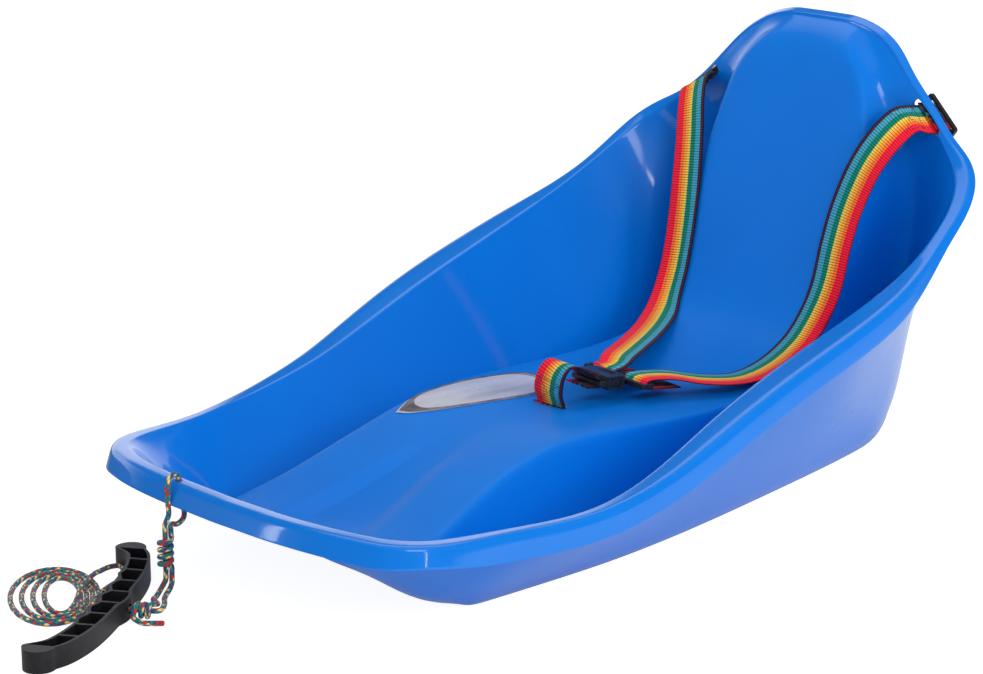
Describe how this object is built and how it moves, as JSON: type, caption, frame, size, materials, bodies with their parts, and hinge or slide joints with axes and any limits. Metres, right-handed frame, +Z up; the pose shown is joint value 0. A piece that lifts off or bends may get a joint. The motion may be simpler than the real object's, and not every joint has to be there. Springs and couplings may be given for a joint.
{
  "type": "plastic sled",
  "caption": "Child's pull sled: moulded tub with a high back, three point webbing harness with a side release buckle, and a tow rope with a bow shaped handle.",
  "frame": {"origin": "on the ground under the middle of the object's bounding box, tow handle included; the runners stand on z = 0", "axes": "+Z up, -Y forward (the way the sled is pulled), +X to the rider's left"},
  "size_m": [0.4386, 0.9037, 0.3842],
  "materials": {
    "sled_blue": "glossy walls, fine matt grain on the floor panel",
    "striped_webbing": "ribbed woven webbing in six lengthwise stripes",
    "black_nylon": "moulded nylon, satin",
    "silver_label": "satin silver film without lettering",
    "braided_rope": "braided cord, blue green with red and yellow flecks",
    "black_handle": "moulded plastic, satin"
  },
  "bodies": {
    "sled": {"sled_shell": "sled_blue", "shoulder_strap_left": "striped_webbing", "shoulder_strap_right": "striped_webbing", "crotch_strap": "striped_webbing", "strap_stopper_left": "black_nylon", "strap_stopper_right": "black_nylon", "strap_stopper_floor": "black_nylon", "buckle_plug": "black_nylon", "floor_label": "silver_label", "tow_handle": "black_handle", "rope_outer_leg": "braided_rope", "rope_inner_leg": "braided_rope", "rope_knot": "braided_rope", "rope_hitch": "braided_rope", "rope_loose_end": "braided_rope", "rope_lead": "braided_rope", "rope_coil": "braided_rope", "rope_end": "braided_rope"},
    "buckle_half": {"buckle_housing": "black_nylon"},
    "prong_left": {"release_prong_left": "black_nylon"},
    "prong_right": {"release_prong_right": "black_nylon"}
  },
  "joints": [
    {"name": "buckle_release", "type": "slide", "parent": "sled", "child": "buckle_half", "axis": [-0.1393, -0.9851, 0.1011], "range_m": [0, 0.026], "deforming": ["crotch_strap", "release_prong_left", "release_prong_right"]},
    {"name": "prong_squeeze_left", "type": "hinge", "parent": "sled", "child": "prong_left", "pos_m": [0.02635, 0.14323, 0.09603], "axis": [-0.0142, -0.1001, -0.9949], "range_deg": [0, 9], "stiffness_Nm_per_rad": 0.02},
    {"name": "prong_squeeze_right", "type": "hinge", "parent": "sled", "child": "prong_right", "pos_m": [0.00556, 0.14617, 0.09603], "axis": [0.0142, 0.1001, 0.9949], "range_deg": [0, 9], "stiffness_Nm_per_rad": 0.02}
  ],
  "couplings": [
    {"joint": "prong_squeeze_right", "follows": "prong_squeeze_left", "ratio": 1}
  ]
}
